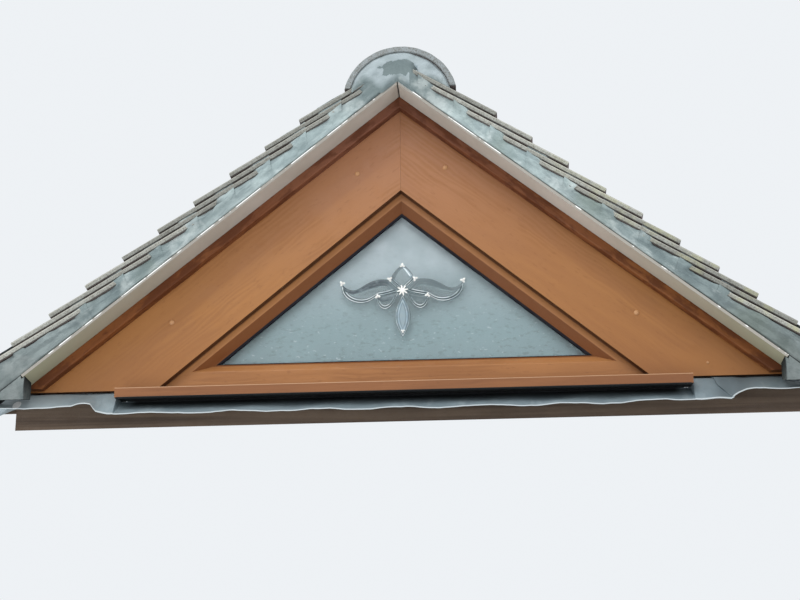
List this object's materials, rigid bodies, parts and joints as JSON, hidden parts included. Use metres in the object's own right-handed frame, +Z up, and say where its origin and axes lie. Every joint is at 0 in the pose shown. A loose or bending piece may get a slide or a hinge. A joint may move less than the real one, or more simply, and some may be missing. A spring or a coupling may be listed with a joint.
{
  "type": "triangular gable dormer window",
  "caption": "Small tiled gable dormer with a triangular double-glazed window, bevelled-glass ornament, lead flashing, half-round ridge and mortared verges.",
  "frame": {"origin": "middle of the sole plate's bevelled bearing face, on the plane of the main roof's rafters", "axes": "+X to the right seen from outside, +Y level into the roof, +Z up"},
  "size_m": [2.0796, 1.117, 0.8619],
  "materials": {
    "bead": "satin woodgrain foil",
    "bevel_glass": "polished bevels",
    "cladding": "satin woodgrain foil",
    "clay_tile": "weathered matt clay",
    "frame": "satin woodgrain foil",
    "gasket": "matt",
    "glass": "clear float glass",
    "lead": "dull weathered lead",
    "mortar": "rough, weathered",
    "ridge_clay": "weathered dark clay",
    "sill": "satin woodgrain foil",
    "spacer": "mill finish",
    "timber": "sawn softwood",
    "trim": "satin woodgrain foil",
    "undercloak": "matt fibre cement",
    "underlay": "woven membrane"
  },
  "bodies": {
    "root": {"battens_left": "timber", "battens_right": "timber", "bevel_cluster": "bevel_glass", "frame_bottom_rail": "frame", "frame_rake_left": "frame", "frame_rake_right": "frame", "gable_board_left": "cladding", "gable_board_right": "cladding", "gable_rafter_left": "timber", "gable_rafter_right": "timber", "glazing_bead_bottom": "bead", "glazing_bead_left": "bead", "glazing_bead_right": "bead", "glazing_gasket": "gasket", "inner_pane": "glass", "jack_rafter_left": "timber", "jack_rafter_right": "timber", "layboard_left": "timber", "layboard_right": "timber", "lead_apron_left": "lead", "lead_apron_middle": "lead", "lead_apron_right": "lead", "lead_saddle": "lead", "outer_pane": "glass", "raking_trim_left": "trim", "raking_trim_right": "trim", "ridge_bedding_left": "mortar", "ridge_bedding_right": "mortar", "ridge_board": "timber", "ridge_end_mortar": "mortar", "ridge_tile_back": "ridge_clay", "ridge_tile_front": "ridge_clay", "ridge_tile_middle": "ridge_clay", "sill": "sill", "sill_end_cap_left": "sill", "sill_end_cap_right": "sill", "sole_plate": "timber", "spacer_bar": "spacer", "tile_courses_left": "clay_tile", "tile_courses_right": "clay_tile", "undercloak_left": "undercloak", "undercloak_right": "undercloak", "underlay_left": "underlay", "underlay_right": "underlay", "valley_lead_left": "lead", "valley_lead_right": "lead", "verge_mortar_left": "mortar", "verge_mortar_right": "mortar"}
  },
  "joints": []
}
